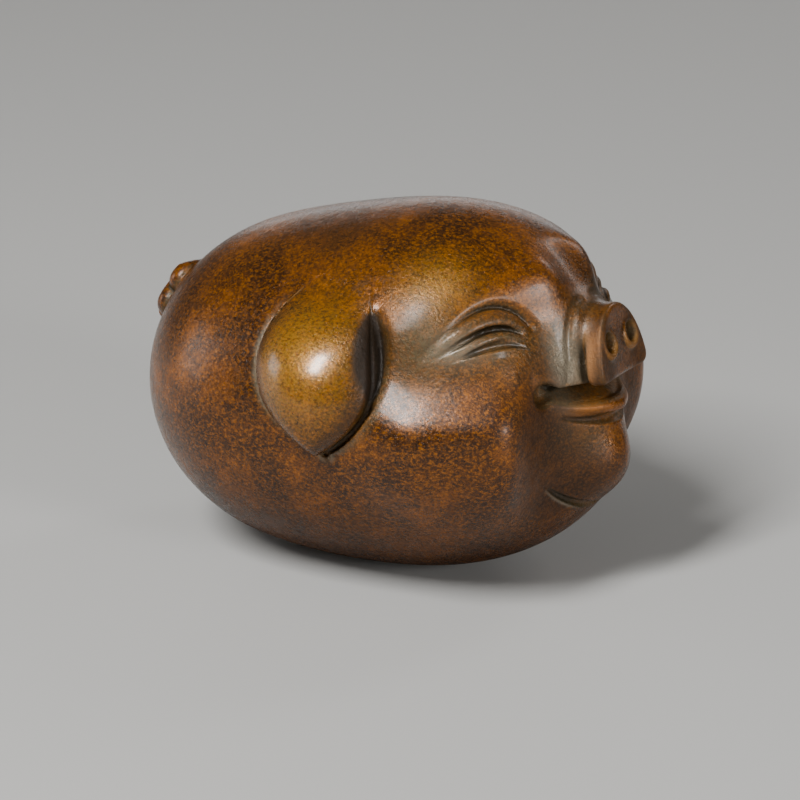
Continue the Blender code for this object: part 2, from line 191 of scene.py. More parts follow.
# Mesh: the points along a stroke, the first grid and its room, and how far a face may
# stray from the form before it is cut in four.
STROKE = 24
SKIN_STEP = 0.55 * MM
SKIN_LOW = np.array((-25.0, -32.0, -2.0)) * MM
SKIN_HIGH = np.array((25.0, 29.0, 41.0)) * MM
SKIN_ERROR = 0.006 * MM

# Patina, painted shade and painted highlights: how far out or in the surface is felt for recesses and edges.
CREVICE_FEEL = 0.5 * MM
HOLLOW_FEEL = 2.0 * MM
RIDGE_FEEL = 0.6 * MM

# Lines round the ear: how far outside its edge they run, and how wide they are: a line of
# painted shade, a painted highlight outside the edge, and the rim darkened as patina and painted
# shade. They fade out towards its top, and the painted highlight also towards its front.
EAR_DARK_LINE = (0.1 * MM, 0.3 * MM)
EAR_LEDGE_HIGHLIGHT = (0.85 * MM, 0.2 * MM)
EAR_RIM = (-0.5 * MM, 0.7 * MM)
EAR_LINES_TOP = 31.0 * MM
EAR_LINES_FADE = 3.0 * MM
LEDGE_FADE = 4.0 * MM

# Painted shade in the valley beside the chin and in the ear's hollow, a painted highlight
# on the rim under the chin's crease, and painted shade darkening the underside.
VALLEY_FADE = 1.6 * MM
EAR_SHADE_FADE = 0.45 * MM
CREASE_RIM_DOWN = 0.55 * MM
CREASE_RIM = 0.2 * MM
LOW_TOP = 15.0 * MM
LOW_FADE = 11.0 * MM

# Patches of patina, painted shade and painted highlights on the head: a place as at_face
# takes it, a reach in millimetres and a strength. The left side has the same ones.
EAR_PATCH = ((-21.5, 25.5, 8.5), (6.0, 6.5, 7.5))
BEFORE_EAR = ((-16.0, 14.8, 8.5), (4.5, 3.5, 4.0))
PATCHES = {
    "ochre": [((-12.8, 14.9, 14.3), (4.0, 3.8, 3.0), 0.9)],
    "dusty": [
        ((-11.5, 7.5, 8.9), (5.0, 5.0, 3.0), 1.0),
        (*BEFORE_EAR, 1.0),
        ((-4.5, 0.8, -1.8), (4.0, 3.0, 2.0), 0.5),
    ],
    "dull": [
        ((-15.0, 7.5, 4.0), (4.0, 4.0, 4.0), 1.0),
        ((-11.0, 7.0, 11.8), (5.5, 5.0, 1.8), 1.0),
        (*BEFORE_EAR, 1.0),
    ],
    # Rubbed pale metal, with painted sheen on the muzzle and the lids and a painted highlight streak on the
    # snout's rim.
    "grey_and_highlight": [
        ((-5.5, 3.9, 6.0), (1.7, 2.2, 3.6), 1.0),
        ((-15.0, 11.4, 8.4), (2.5, 2.5, 1.5), 0.7),
        ((-4.9, 2.7, 6.8), (0.7, 0.3, 2.2), 1.0),
    ],
    # Dark brown patina, with painted shade on the forehead's front and under the chin.
    "umber_and_shade": [
        ((-7.0, 29.0, 16.5), (6.0, 5.0, 4.0), 1.0),
        ((0.0, 4.0, 13.5), (5.0, 5.0, 5.0), 1.0),
        ((0.0, 0.0, 7.2), (5.0, 1.0, 4.5), 1.0),
        (*BEFORE_EAR, 0.7),
        ((-19.0, 17.5, 12.0), (4.0, 3.0, 5.0), 0.7),
        ((-4.0, 1.8, -8.0), (6.0, 4.5, 4.0), 1.0),
    ],
    "orange": [
        ((-4.6, 2.2, 5.5), (1.2, 0.9, 4.0), 1.0),
        ((-4.0, 0.5, 0.8), (3.0, 3.0, 0.8), 0.5),
    ],
}

# Colours
DARK_BRONZE = (0.035, 0.011, 0.002)
RED_BRONZE = (0.19, 0.056, 0.003)
BROWN_PATCH = (0.022, 0.009, 0.0025)
OCHRE = (0.4, 0.19, 0.01)
ORANGE_GRAIN = (0.36, 0.115, 0.004)
DARK_GRAIN = (0.015, 0.006, 0.002)
# Dark brown: patina, and painted shade in the valley, on the forehead's front and under the chin.
UMBER_AND_SHADE = (0.03, 0.014, 0.005)
SPECK = (0.008, 0.004, 0.002)
WORN_ORANGE = (0.4, 0.13, 0.008)
# Painted shade: the base darkened towards the bottom.
UNDERSIDE_SHADE = (0.014, 0.005, 0.0015)
# Brown patina and painted shade just inside the ear's edge.
EAR_RIM_BROWN_AND_SHADE = (0.03, 0.012, 0.003)
OLIVE_DUST = (0.07, 0.056, 0.02)
# Rubbed pale metal, and painted highlights and sheen on the ear's edge, under the chin's crease, on the
# snout's rim, muzzle and lids.
RUBBED_GREY_AND_HIGHLIGHT = (0.25, 0.215, 0.155)
# Dark olive patina in fine creases, and painted shade there.
CREVICE_OLIVE_AND_SHADE = (0.014, 0.011, 0.004)
DEEP_SHADE = (0.01, 0.006, 0.003)
# Gold on worn edges, and painted edge highlights.
RIDGE_GOLD_AND_HIGHLIGHT = (0.38, 0.16, 0.025)
PALE_FLOOR = (0.44, 0.435, 0.42, 1.0)
ROOM_LIGHT = (1.0, 0.97, 0.93, 1.0)
ROOM_STRENGTH = 0.09

# Lights: name, azimuth, elevation, distance, width and height, power
SOFTBOXES = (
    ("key", -97, 48, 0.6, (0.12, 0.26), 5.5),
    ("front", -17, 16, 0.7, (0.14, 0.2), 2.7),
    ("rear", -161, 12, 0.8, (0.3, 0.3), 1.0),
    ("far", 70, 36, 0.8, (0.14, 0.36), 0.8),
    ("rim", 118, 8, 0.9, (0.5, 0.16), 0.4),
)
LIGHTS_AIM = (0.0, 0.0, 18.0 * MM)

# Camera: the photograph's view
CAMERA_AIM = np.array((0.1, -2.78, 16.13)) * MM
CAMERA_AZIMUTH = -60
CAMERA_ELEVATION = 19
CAMERA_DISTANCE = 350.0 * MM
CAMERA_LENS = 151.67
CAMERA_SENSOR = 36.0
FLOOR_HALF = 2.0


def ellipsoid(p, centre, radii):
    """Distance to an ellipsoid, true close to its surface."""
    q = p - np.array(centre)
    radii = np.array(radii)
    near = np.linalg.norm(q / radii, axis=1)
    slope = np.linalg.norm(q / radii**2, axis=1)
    return near * (near - 1.0) / np.maximum(slope, 1e-9)


def blend(a, b, width):
    """Union of two shapes with a fillet of about this width."""
    h = np.clip(0.5 + 0.5 * (b - a) / width, 0.0, 1.0)
    return b + (a - b) * h - width * h * (1.0 - h)


def carve(a, b, width):
    """The first shape with the second cut out of it, with rounded edges."""
    return -blend(-a, b, width)


def both(a, b, width):
    """What two shapes share, with rounded edges."""
    return -blend(-a, -b, width)


def mound(p, centre, radii, height):
    """A soft rise, to take off a distance, or a dip, to add to it."""
    q = (p - np.array(centre)) / np.array(radii)
    return height * np.exp(-np.sum(q * q, axis=1))


def tube(p, path, radii, reach=4.0 * MM):
    """Distance to a string of round segments whose radius changes along the path."""
    distance = np.full(len(p), reach)
    close = np.all((p > path.min(axis=0) - reach) & (p < path.max(axis=0) + reach), axis=1)
    q = p[close]
    nearest = distance[close]
    for a, b, ra, rb in zip(path[:-1], path[1:], radii[:-1], radii[1:]):
        run = b - a
        t = np.clip((q - a) @ run / (run @ run), 0.0, 1.0)
        gap = np.linalg.norm(q - a - t[:, None] * run, axis=1) - ra - (rb - ra) * t
        nearest = np.minimum(nearest, gap)
    distance[close] = nearest
    return distance


def sweep(start, middle, end):
    """Values along a stroke: the parabola through three of them."""
    t = np.linspace(0.0, 1.0, STROKE)
    return start * (1 - t) * (1 - 2 * t) + middle * 4 * t * (1 - t) + end * t * (2 * t - 1)


def swell(end):
    """Width along a stroke that tapers to this share at both ends."""
    t = np.linspace(-1.0, 1.0, STROKE)
    return end + (1.0 - end) * (1.0 - t**2)


def widen(start, end):
    """Width along a stroke that is full in the middle, with these shares at its ends."""
    t = np.linspace(0.0, 1.0, STROKE)
    return start + (end - start) * t + (1.0 - (start + end) / 2) * 4 * t * (1 - t)


def surface_along(field, start, direction, sink):
    """Points where rays from inside leave a field, or lie this deep under its surface."""
    near = np.zeros(len(start))
    far = np.full(len(start), 40 * MM)
    for _ in range(24):
        middle = (near + far) / 2
        inside = field(start + direction * middle[:, None]) < -sink
        near = np.where(inside, middle, near)
        far = np.where(inside, far, middle)
    return start + direction * near[:, None]


def around_head(field, line, sink=0.0):
    """A stroke on the right side of the head, from its azimuths and heights."""
    turn = np.radians(sweep(*line[0]))
    heights = sweep(*line[1]) * MM + HEAD_UP
    zero = np.zeros(len(turn))
    start = np.stack((zero, zero - HEAD_FORWARD, heights), axis=1)
    direction = np.stack((-np.sin(turn), -np.cos(turn), zero), axis=1)
    return surface_along(field, start, direction, sink)


def on_face(field, x, up, sink=0.0):
    """A stroke given as seen from the front."""
    zero = np.zeros(len(x))
    start = np.stack((x, zero - HEAD_FORWARD, up + HEAD_UP), axis=1)
    return surface_along(field, start, np.stack((zero, zero - 1.0, zero), axis=1), sink)


def slope_of(field, p, step):
    """The field's gradient at these points."""
    small = 0.1 * step
    slope = [(field(p + small * axis) - field(p - small * axis)) / (2 * small) for axis in np.eye(3)]
    return np.stack(slope, axis=1)


def onto(field, p, step):
    """Points moved on to the surface of a field."""
    slope = slope_of(field, p, step)
    size = np.maximum((slope**2).sum(axis=1), 0.05)
    return p - slope * (field(p) / size)[:, None]


def body(p):
    """The bare body."""
    return blend(ellipsoid(p, RUMP_CENTRE, RUMP_RADII), ellipsoid(p, HEAD_CENTRE, HEAD_RADII), NECK_FILL)


def right_side(p):
    """Points folded over to the pig's right, because its two halves are alike."""
    m = p.copy()
    m[:, 0] = -np.abs(p[:, 0])
    return m


JOWL = around_head(body, JOWL_LINE, JOWL_DEPTH - JOWL_ROUND)
FURROW = around_head(body, FURROW_LINE, FURROW_DEPTH - FURROW_ROUND)
TEMPLE = around_head(body, TEMPLE_LINE, TEMPLE_DEPTH - TEMPLE_ROUND)


def masses(p):
    """The body with its cheeks, chin and brow, before any line is drawn on it."""
    m = right_side(p)
    d = body(p) - mound(m, CHEEK_CENTRE, CHEEK_REACH, CHEEK_RISE)
    d = d - mound(m, JAW_CENTRE, JAW_REACH, JAW_RISE)
    d = blend(d, ellipsoid(p, CHIN_CENTRE, CHIN_RADII), 1.5 * MM)
    d = d + mound(m, NOSE_SIDE_CENTRE, NOSE_SIDE_REACH, NOSE_SIDE_DIP)
    d = d + mound(m, SOCKET_CENTRE, SOCKET_REACH, SOCKET_DIP)
    d = d + mound(m, LIPS_CENTRE, LIPS_REACH, LIPS_SETBACK)
    d = d - mound(m, BROW_CENTRE, BROW_REACH, BROW_RISE)
    d = carve(d, tube(m, FURROW, FURROW_ROUND * swell(0.8), 8.0 * MM), 2.0 * MM)
    d = carve(d, tube(m, TEMPLE, TEMPLE_ROUND * swell(0.88), 9.0 * MM), 2.5 * MM)
    d = carve(d, ellipsoid(p, DISH_CENTRE, DISH_RADII), 2.0 * MM)
    return carve(d, tube(m, JOWL, JOWL_ROUND * swell(0.85), 12.0 * MM), 3.8 * MM)


def muzzle(p, d):
    """The muzzle, with the upper lip flared into it."""
    middle = np.array((MUZZLE_BACK, MUZZLE_FRONT))
    squeezed = p * np.array((0.9, 1.0, 1.0))
    d = blend(d, tube(squeezed, middle, (MUZZLE_RADIUS, MUZZLE_RADIUS), 8.0 * MM), 3.0 * MM)
    flare = np.linspace(0.3, 1.0, STROKE) * UPPER_LIP_RADIUS
    return blend(d, tube(right_side(p), UPPER_LIP, flare), 1.6 * MM)


def snout(p):
    """The snout's disc, dished in front and with a rim round each nostril, and the nostrils."""
    turn = np.radians(SNOUT_TILT)
    q = p - np.array(SNOUT_CENTRE)
    x = q[:, 0]
    y = q[:, 1] * np.cos(turn) - q[:, 2] * np.sin(turn)
    z = q[:, 1] * np.sin(turn) + q[:, 2] * np.cos(turn)
    arch = np.hypot(x / SNOUT_HALF_WIDTH, np.maximum(z + SNOUT_BOTTOM, 0.0) / (SNOUT_TOP + SNOUT_BOTTOM))
    side = both((arch - 1.0) * SNOUT_HALF_WIDTH, -z - SNOUT_BOTTOM, 1.2 * MM)
    dished = np.where(y < 0, -y + FACE_DISH * np.clip(1.0 - arch**2, 0.0, 1.0), y)
    disc = both(side, dished - SNOUT_THICK / 2, SNOUT_EDGE)
    nostril = np.stack((np.abs(x) - NOSTRIL_SPACING / 2, y + NOSTRIL_FORWARD, z), axis=1)
    disc = blend(disc, ellipsoid(nostril, *NOSTRIL_RIM), 0.4 * MM)
    return disc, blend(ellipsoid(nostril, *NOSTRIL_HOLE), ellipsoid(nostril, *NOSTRIL_DISH), 0.4 * MM)


def beside_snout():
    """The fold that curls round the snout's side, found from the middle of the muzzle."""
    turn = np.radians(np.linspace(*FOLD_TURN, STROKE))
    middle = np.array(SNOUT_CENTRE) + (0.0, FOLD_BACK, 0.0)
    direction = np.stack((np.sin(turn), FOLD_LEAN * np.cos(turn), np.cos(turn)), axis=1)
    return surface_along(lambda q: muzzle(q, masses(q)), np.tile(middle, (STROKE, 1)), direction, -FOLD_LIFT)


LIP_X = np.linspace(-LIP_REACH * MOUTH_HALF_WIDTH, 0.0, STROKE)
SMILE = (MOUTH_TOP - MOUTH_BOTTOM) * np.abs(LIP_X / MOUTH_HALF_WIDTH) ** 3
UPPER_LIP = around_head(masses, UPPER_LIP_LINE, 0.45 * MM)
LOWER_LIP = on_face(masses, LIP_X, MOUTH_BOTTOM + 0.85 * SMILE, 0.2 * MM)
UNDER_LIP = on_face(masses, LIP_X * 0.9, MOUTH_BOTTOM + 0.7 * SMILE - LIP_GROOVE_DOWN, 0.05 * MM)
CORNER = around_head(masses, CORNER_LINE, 0.35 * MM)
FOLD = beside_snout()
CREASE_X = np.linspace(-CREASE_HALF_WIDTH, 0.0, STROKE)
CREASE_RISE = CREASE_CURL * (CREASE_X / CREASE_HALF_WIDTH) ** 2
CHIN_CREASE = on_face(masses, CREASE_X, CREASE_UP + CREASE_RISE)
TAPER = np.linspace(0.02, 1.0, STROKE)


def mouth(p, d, outside):
    """The open mouth, the lower lip, the groove under it and the crease of the chin."""
    m = right_side(p)
    x = p[:, 0]
    up = p[:, 2] - HEAD_UP
    low = MOUTH_BOTTOM + (MOUTH_TOP - MOUTH_BOTTOM) * np.abs(x / MOUTH_HALF_WIDTH) ** 3
    deep = MOUTH_DEPTH * (up - low) / (MOUTH_TOP - MOUTH_BOTTOM)
    opening = both(up - MOUTH_TOP, -(outside + deep), 0.6 * MM)
    front = (p[:, 1] < HEAD_CENTRE[1]) & (np.abs(x) < 1.15 * MOUTH_HALF_WIDTH)
    d = carve(d, np.where(front, opening, 3.0 * MM), 0.25 * MM)
    d = carve(d, tube(m, CORNER, CORNER_RADIUS * widen(0.5, 0.7)), 1.2 * MM)
    d = blend(d, tube(m, LOWER_LIP, LIP_RADIUS * TAPER**0.7), 0.25 * MM)
    d = carve(d, tube(m, UNDER_LIP, LIP_GROOVE * TAPER**0.6), 0.4 * MM)
    return carve(d, tube(m, CHIN_CREASE, CREASE_RADIUS * TAPER**0.5), 0.2 * MM)


CREASE = around_head(masses, EYE_CREASE_LINE, -0.15 * MM)
LID = around_head(masses, EYE_LID_LINE, 0.8 * MM)
SLIT = around_head(masses, EYE_SLIT_LINE, -0.1 * MM)
LOWER_LID = around_head(masses, EYE_LOWER_LINE, 0.35 * MM)
LAST_FOLD = around_head(masses, EYE_FOLD_LINE, -0.1 * MM)
LAST_LID = around_head(masses, EYE_LAST_LID_LINE, 0.4 * MM)


def eye(p, d):
    """A shut eye: the crease under the brow, the lid, the slit, the lower lid and a last fold."""
    m = right_side(p)
    d = carve(d, tube(m, CREASE, EYE_CREASE * widen(0.1, 0.7)), 0.9 * MM)
    d = blend(d, tube(m, LID, EYE_LID * widen(0.45, 0.5)), 0.25 * MM)
    d = blend(d, tube(m, LAST_LID, EYE_LAST_LID * widen(0.2, 0.4)), 0.4 * MM)
    d = carve(d, tube(m, SLIT, EYE_SLIT * widen(0.1, 0.3)), 0.25 * MM)
    d = blend(d, tube(m, LOWER_LID, EYE_LOWER_LID * widen(0.2, 0.3)), 0.2 * MM)
    return carve(d, tube(m, LAST_FOLD, EYE_FOLD * widen(0.1, 0.2)), 0.2 * MM)


HOLLOW = around_head(body, HOLLOW_LINE, HOLLOW_DEPTH - HOLLOW_RADIUS)


def ear_outline(m):
    """How far points are up the ear, across it, how wide it is there, and how far outside they are."""
    up = m[:, 2] - HEAD_UP + EAR_DOWN
    across = m[:, 1] + HEAD_FORWARD - EAR_BACK - EAR_SLANT * up
    close = np.where(across < 0, EAR_FRONT_CLOSE, EAR_REAR_CLOSE)
    below = np.clip(1.0 - up / EAR_WIDEST, 0.0, 1.0)
    above = np.clip((up - EAR_WIDEST) / close, 0.0, 1.0)
    width = EAR_HALF_WIDTH * (1.0 - below ** np.where(across < 0, 2.0, 2.6)) * (1.0 - above**2)
    side = (np.abs(across) - width) * (1.0 - 0.35 * below)
    side = np.where(up < 0, np.hypot(up, across), side)
    return up, across, width, np.where(m[:, 0] < -EAR_ROOM, side, 5.0 * MM)


def ear(p, d, skin):
    """A puffed drop on the side of the head, a hollow along its front and a groove round it."""
    m = right_side(p)
    d = carve(d, tube(m, HOLLOW, HOLLOW_RADIUS * widen(0.3, 0.3)), 1.5 * MM)
    up, across, width, side = ear_outline(m)
    below = np.clip(1.0 - up / EAR_WIDEST, 0.0, 1.0)
    share = np.clip(np.abs(across) / np.maximum(width, 0.2 * MM), 0.0, 1.0)
    fade = np.maximum((up - EAR_WIDEST) / (EAR_HEIGHT - EAR_WIDEST), 0.0)
    puff = EAR_DOME * (1.0 - share**2.2) * (1.0 - below**2.5) ** 0.6
    height = (EAR_EDGE + puff) * (1.0 - fade**2) - 1.0 * MM * fade**4
    d = blend(d, both(skin - height, side, 0.35 * MM), (0.1 + 1.3 * np.minimum(fade, 1.0) ** 2) * MM)
    groove = np.hypot(side - EAR_GROOVE_OUT, skin) - EAR_GROOVE * (1.0 - np.minimum(fade, 1.0) ** 2)
    return carve(d, groove, 0.15 * MM)


def tail_path():
    """Two waves down the rump, laid on its skin, with the root sunk in."""
    t = np.linspace(0.0, 1.0, 2 * STROKE)
    x = TAIL_SIDE - TAIL_SWAY * np.sin(2 * np.pi * t) ** 2
    z = TAIL_TOP + (TAIL_BOTTOM - TAIL_TOP) * t
    path = np.stack((x, np.full(len(x), RUMP_CENTRE[1] + RUMP_RADII[1]), z), axis=1)
    for _ in range(3):
        path = onto(body, path, MM)
    lift = TAIL_LIFT - TAIL_ROOT_SINK * (1.0 - np.clip(6 * t, 0.0, 1.0))
    return path + lift[:, None] * np.array((0.0, 0.9, 0.44))


TAIL = tail_path()
TAIL_RADIUS = np.linspace(TAIL_RADII[0], TAIL_RADII[1], len(TAIL))


def form(p):
    """Distance to the finished pig."""
    plain = masses(p)
    d = muzzle(p, plain)
    d = carve(d, tube(right_side(p), FOLD, FOLD_RADIUS * swell(0.4)), 0.5 * MM)
    disc, hole = snout(p)
    d = mouth(p, d, plain)
    d = carve(blend(d, disc, SNOUT_FILLET), hole, 0.3 * MM)
    d = eye(p, d)
    d = ear(p, d, body(p))
    return blend(d, tube(p, TAIL, TAIL_RADIUS), 0.3 * MM)


def verts_of(mesh):
    """A mesh's points as rows."""
    points = np.empty(len(mesh.vertices) * 3)
    mesh.vertices.foreach_get("co", points)
    return points.reshape(-1, 3)


def refine(mesh):
    """Cuts the faces that stray from the form in four and moves all points back on to it."""
    work = bmesh.new()
    work.from_mesh(mesh)
    centres = np.array([face.calc_center_median() for face in work.faces])
    astray = (np.abs(form(centres)) > SKIN_ERROR) & (centres[:, 2] > -SKIN_STEP)
    edges = {edge for face, wanted in zip(work.faces, astray) if wanted for edge in face.edges}
    bmesh.ops.subdivide_edges(work, edges=list(edges), cuts=1, use_grid_fill=True)
    work.to_mesh(mesh)
    work.free()
    points = verts_of(mesh)
    for _ in range(2):
        points = onto(form, points, 0.2 * MM)
    mesh.vertices.foreach_set("co", points.ravel())


def skin(box):
    """The pig's surface, finer where it bends, within the solid's own box, with its flat seat."""
    axes = [np.arange(a, b + SKIN_STEP, SKIN_STEP) for a, b in zip(SKIN_LOW, SKIN_HIGH)]
    grid = np.stack(np.meshgrid(*axes, indexing="ij"), axis=-1)
    values = form(grid.reshape(-1, 3)).reshape(grid.shape[:3])
    volume = openvdb.FloatGrid()
    volume.copyFromArray((values / SKIN_STEP).astype(np.float32))
    points, faces = volume.convertToQuads(isovalue=0.0)
    points = SKIN_LOW + points.astype(float) * SKIN_STEP
    for _ in range(2):
        points = onto(form, points, SKIN_STEP)
    mesh = bpy.data.meshes.new("pig_skin")
    mesh.from_pydata(points.tolist(), [], faces.tolist())
    for _ in range(2):
        refine(mesh)
    points = verts_of(mesh)
    points = np.maximum(np.minimum(points, box[1]), (box[0][0], box[0][1], -1.0))
    mesh.vertices.foreach_set("co", points.ravel())
    work = bmesh.new()
    work.from_mesh(mesh)
    everything = work.verts[:] + work.edges[:] + work.faces[:]
    bmesh.ops.bisect_plane(work, geom=everything, plane_co=(0, 0, 0), plane_no=(0, 0, -1), clear_outer=True)
    rim = [edge for edge in work.edges if edge.is_boundary]
    bmesh.ops.contextual_create(work, geom=rim)
    work.to_mesh(mesh)
    work.free()
    return mesh


def near(p, place, reach):
    """One at this place on the head, in millimetres, and less away from it."""
    return mound(right_side(p), at_face(*place), np.array(reach) * MM, 1.0)


def patches(p, kind):
    """How strong one kind of patina is at these points, from its patches alone."""
    return sum(strength * near(p, place, reach) for place, reach, strength in PATCHES[kind])


def band(distance, line):
    """One along a line at this distance, and less away from it."""
    return np.exp(-(((distance - line[0]) / line[1]) ** 2))


def clipped(values):
    """Values kept between 0 and 1."""
    return np.clip(values, 0.0, 1.0)


def paint(mesh):
    """What the patina and the painted light follow: recesses at two scales, edges, painted shade and
    highlights, dark and dusty places.
    """
    p = verts_of(mesh)
    m = right_side(p)
    slope = slope_of(form, p, 0.3 * MM)
    normal = slope / np.maximum(np.linalg.norm(slope, axis=1), 0.2)[:, None]

    side = ear_outline(m)[3]
    on_ear = clipped(0.5 - side / MM)
    below_top = clipped((EAR_LINES_TOP - p[:, 2]) / EAR_LINES_FADE)
    behind = clipped((p[:, 1] - HEAD_CENTRE[1]) / LEDGE_FADE)
    # Painted highlight: a thin bright line just outside the ear's rear and lower edge.
    ledge_highlight = band(side, EAR_LEDGE_HIGHLIGHT) * below_top * behind
    # Painted shade: a dark line just outside the ear's edge.
    dark_line = band(side, EAR_DARK_LINE) * below_top
    # Away from the hollow this is far below 0, so the dark line shows only beside the hollow.
    in_hollow = 1.0 - tube(m, HOLLOW, HOLLOW_RADIUS * widen(0.3, 0.3)) / EAR_SHADE_FADE

    # Painted shade in the valley between cheek and chin, which is also made duller.
    valley = clipped(1.0 - tube(m, JOWL, JOWL_ROUND * swell(0.85), 12.0 * MM) / VALLEY_FADE)
    # Painted highlight: a thin bright rim just under the chin's crease.
    below_crease = tube(m + (0.0, 0.0, CREASE_RIM_DOWN), CHIN_CREASE, CREASE_RIM * TAPER)
    crease_highlight = clipped(1.0 - below_crease / CREASE_RIM)

    values = {
        # Dark olive patina and painted shade in fine creases; olive patina in the larger hollows.
        "crevice": 1.0 - form(p + CREVICE_FEEL * normal) / CREVICE_FEEL,
        "hollow": 1.0 - form(p + HOLLOW_FEEL * normal) / HOLLOW_FEEL,
        # Worn gold and painted highlights on edges.
        "ridge": 1.0 + form(p - RIDGE_FEEL * normal) / RIDGE_FEEL,
        "ochre": patches(p, "ochre") + on_ear * near(p, *EAR_PATCH),
        "dusty": patches(p, "dusty"),
        "dull": patches(p, "dull") + valley,
        # Rubbed pale metal, with painted highlights outside the ear's edge and under the chin's crease.
        "grey_and_highlight": patches(p, "grey_and_highlight") + 0.5 * ledge_highlight + 0.6 * crease_highlight,
        # Dark brown patina, with painted shade in the valley between cheek and chin.
        "umber_and_shade": patches(p, "umber_and_shade") + valley,
        "orange": patches(p, "orange"),
        "shade": in_hollow + 0.8 * dark_line,
        # Brown patina and painted shade just inside the ear's edge, where it turns away.
        "ear_rim": band(side, EAR_RIM) * below_top,
        # Painted shade: darker towards the bottom.
        "low": (LOW_TOP - p[:, 2]) / LOW_FADE,
    }
    for name, value in values.items():
        layer = mesh.attributes.new(name, "FLOAT", "POINT")
        layer.data.foreach_set("value", clipped(value))


class Nodes:
    """Short ways to add nodes to a material."""

    def __init__(self, name):
        self.material = bpy.data.materials.new(name)
        self.material.use_nodes = True
        self.tree = self.material.node_tree
        self.shader = self.tree.nodes["Principled BSDF"]

    def add(self, kind, **inputs):
        """A new node, with values or other nodes' outputs in its inputs."""
        made = self.tree.nodes.new(kind)
        for key, value in inputs.items():
            self.put(made.inputs[key.replace("_", " ")], value)
        return made

    def put(self, socket, value):
        """A value, or another node's output, in an input."""
        if isinstance(value, bpy.types.NodeSocket):
            self.tree.links.new(value, socket)
        else:
            socket.default_value = value

    def attribute(self, name):
        """One of the mesh's painted attributes."""
        made = self.add("ShaderNodeAttribute")
        made.attribute_name = name
        return made.outputs["Fac"]

    def noise(self, size, detail=3.0, rough=0.55, stretch=(1.0, 1.0, 1.0), bend=0.0):
        """Noise with blotches of this size in metres."""
        place = self.add("ShaderNodeTexCoord").outputs["Object"]
        if stretch != (1.0, 1.0, 1.0):
            place = self.add("ShaderNodeMapping", Vector=place, Scale=stretch).outputs["Vector"]
        made = self.add("ShaderNodeTexNoise", Vector=place, Scale=1.0 / size, Detail=detail, Roughness=rough)
        made.inputs["Distortion"].default_value = bend
        return made.outputs["Fac"]

    def step(self, value, low, high, start=0.0, end=1.0):
        """A value brought from one range to another, with a soft start and end."""
        made = self.add("ShaderNodeMapRange", Value=value)
        made.interpolation_type = "SMOOTHSTEP"
        for key, number in (("From Min", low), ("From Max", high), ("To Min", start), ("To Max", end)):
            made.inputs[key].default_value = number
        return made.outputs["Result"]

    def math(self, kind, a, b):
        """One sum of two values or outputs."""
        made = self.add("ShaderNodeMath")
        made.operation = kind
        self.put(made.inputs[0], a)
        self.put(made.inputs[1], b)
        return made.outputs["Value"]

    def times(self, a, b):
        """The product of two values or outputs."""
        return self.math("MULTIPLY", a, b)

    def mix(self, share, a, b):
        """One colour with this share of another."""
        made = self.tree.nodes.new("ShaderNodeMix")
        made.data_type = "RGBA"
        self.put(made.inputs["Factor"], share)
        self.put(made.inputs[6], a if isinstance(a, bpy.types.NodeSocket) else (*a, 1.0))
        self.put(made.inputs[7], b if isinstance(b, bpy.types.NodeSocket) else (*b, 1.0))
        return made.outputs[2]


